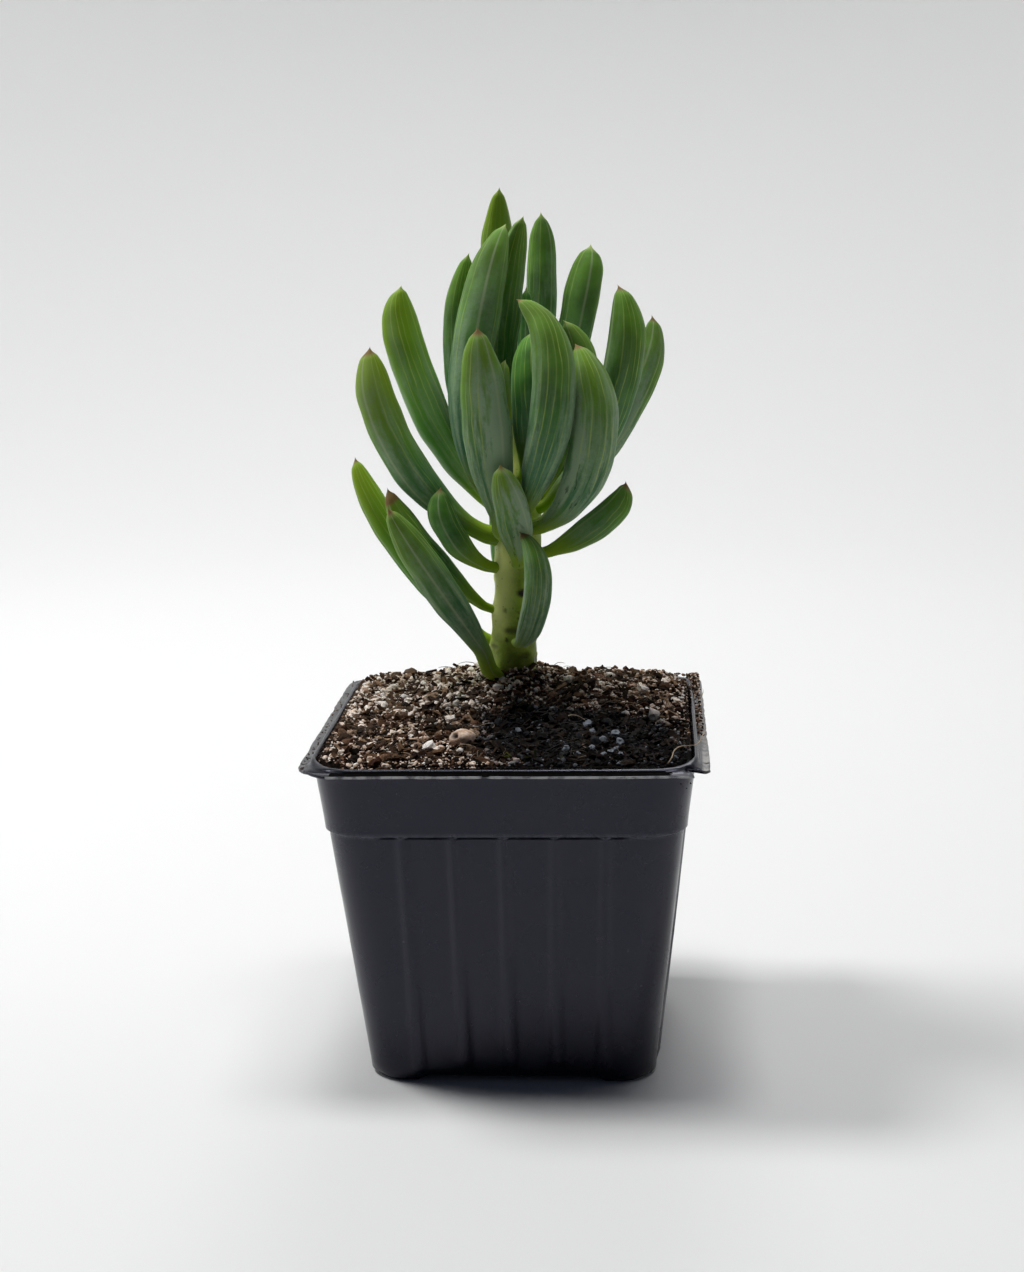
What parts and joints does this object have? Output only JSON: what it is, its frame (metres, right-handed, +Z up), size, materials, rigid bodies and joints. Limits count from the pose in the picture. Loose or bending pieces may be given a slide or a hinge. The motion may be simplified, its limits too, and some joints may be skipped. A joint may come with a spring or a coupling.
{
  "type": "potted succulent",
  "caption": "Upright finger-leaved succulent with blue-green spindle leaves on a short green stem, growing in a square ribbed black nursery pot of gritty potting mix.",
  "frame": {"origin": "middle of the pot's foot, on the surface it stands on", "axes": "+Z up the stem, pot sides square to X and Y, the side seen from the front faces -Y"},
  "size_m": [0.089, 0.089, 0.1967],
  "materials": {
    "pot_plastic": "thermoformed black polystyrene, satin with fine scuffs",
    "potting_mix": "loose dark peat and bark crumbs with pale perlite grains, dry on top",
    "stem_skin": "smooth green bark with brown leaf scars, slight wax",
    "leaf_skin": "fleshy blue-green skin under a powdery pale wax bloom, faint long veins"
  },
  "bodies": {
    "root": {"pot": "pot_plastic", "soil": "potting_mix", "stem": "stem_skin", "leaf_01": "leaf_skin", "leaf_02": "leaf_skin", "leaf_03": "leaf_skin", "leaf_04": "leaf_skin", "leaf_05": "leaf_skin", "leaf_06": "leaf_skin", "leaf_07": "leaf_skin", "leaf_08": "leaf_skin", "leaf_09": "leaf_skin", "leaf_10": "leaf_skin", "leaf_11": "leaf_skin", "leaf_12": "leaf_skin", "leaf_13": "leaf_skin", "leaf_14": "leaf_skin", "leaf_15": "leaf_skin", "leaf_16": "leaf_skin", "leaf_17": "leaf_skin", "leaf_18": "leaf_skin", "leaf_19": "leaf_skin", "leaf_20": "leaf_skin", "leaf_21": "leaf_skin", "leaf_22": "leaf_skin", "leaf_23": "leaf_skin", "leaf_24": "leaf_skin", "leaf_25": "leaf_skin", "leaf_26": "leaf_skin", "leaf_27": "leaf_skin", "leaf_28": "leaf_skin"}
  },
  "joints": []
}
